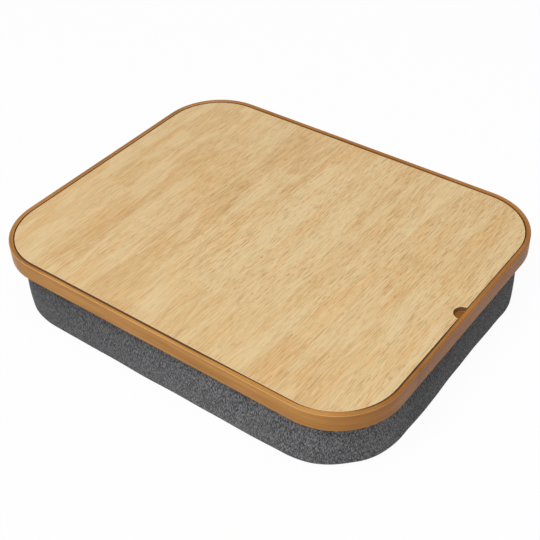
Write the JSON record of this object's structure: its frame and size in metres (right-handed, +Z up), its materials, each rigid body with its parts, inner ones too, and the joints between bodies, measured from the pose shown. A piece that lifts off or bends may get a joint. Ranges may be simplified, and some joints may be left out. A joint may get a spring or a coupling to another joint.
{
  "type": "lap tray with cushion",
  "caption": "Rectangular lap tray with rounded corners: a lift-out wood-look lid in a bent bamboo hoop over a shallow storage recess, on a boxed fabric cushion.",
  "frame": {"origin": "middle of the underside, on the surface that the cushion stands on", "axes": "+X along the long side, towards the finger notch; +Y away from the user; +Z up"},
  "size_m": [0.4, 0.32, 0.072],
  "materials": {
    "bamboo_rim": "clear satin lacquer",
    "bamboo_board": "clear matt lacquer",
    "bamboo_ledge": "clear satin lacquer",
    "screw_steel": "zinc plated",
    "plywood": "bare",
    "grey_fabric": "heather linen weave",
    "staple_wire": "galvanised",
    "foam": "open cell foam",
    "fibreboard": "bare edge",
    "printed_wood": "satin printed sheet",
    "backing_paper": "matt paper"
  },
  "bodies": {
    "tray": {"rim_hoop": "bamboo_rim", "tray_floor": "bamboo_board", "ledge_rail_front": "bamboo_ledge", "ledge_rail_back": "bamboo_ledge", "ledge_rail_left": "bamboo_ledge", "ledge_rail_right": "bamboo_ledge", "ledge_corner_front_left": "bamboo_ledge", "ledge_corner_front_right": "bamboo_ledge", "ledge_corner_back_left": "bamboo_ledge", "ledge_corner_back_right": "bamboo_ledge", "floor_screws": "screw_steel", "cushion_plate": "plywood", "cover_side_band": "grey_fabric", "cover_bottom_panel": "grey_fabric", "cover_staples": "staple_wire", "foam_core": "foam"},
    "lid": {"lid_core": "fibreboard", "lid_top_sheet": "printed_wood", "lid_backing_sheet": "backing_paper"}
  },
  "joints": [
    {"name": "lid_lift", "type": "slide", "parent": "tray", "child": "lid", "axis": [0, 0, 1], "range_m": [0, 0.06]}
  ]
}
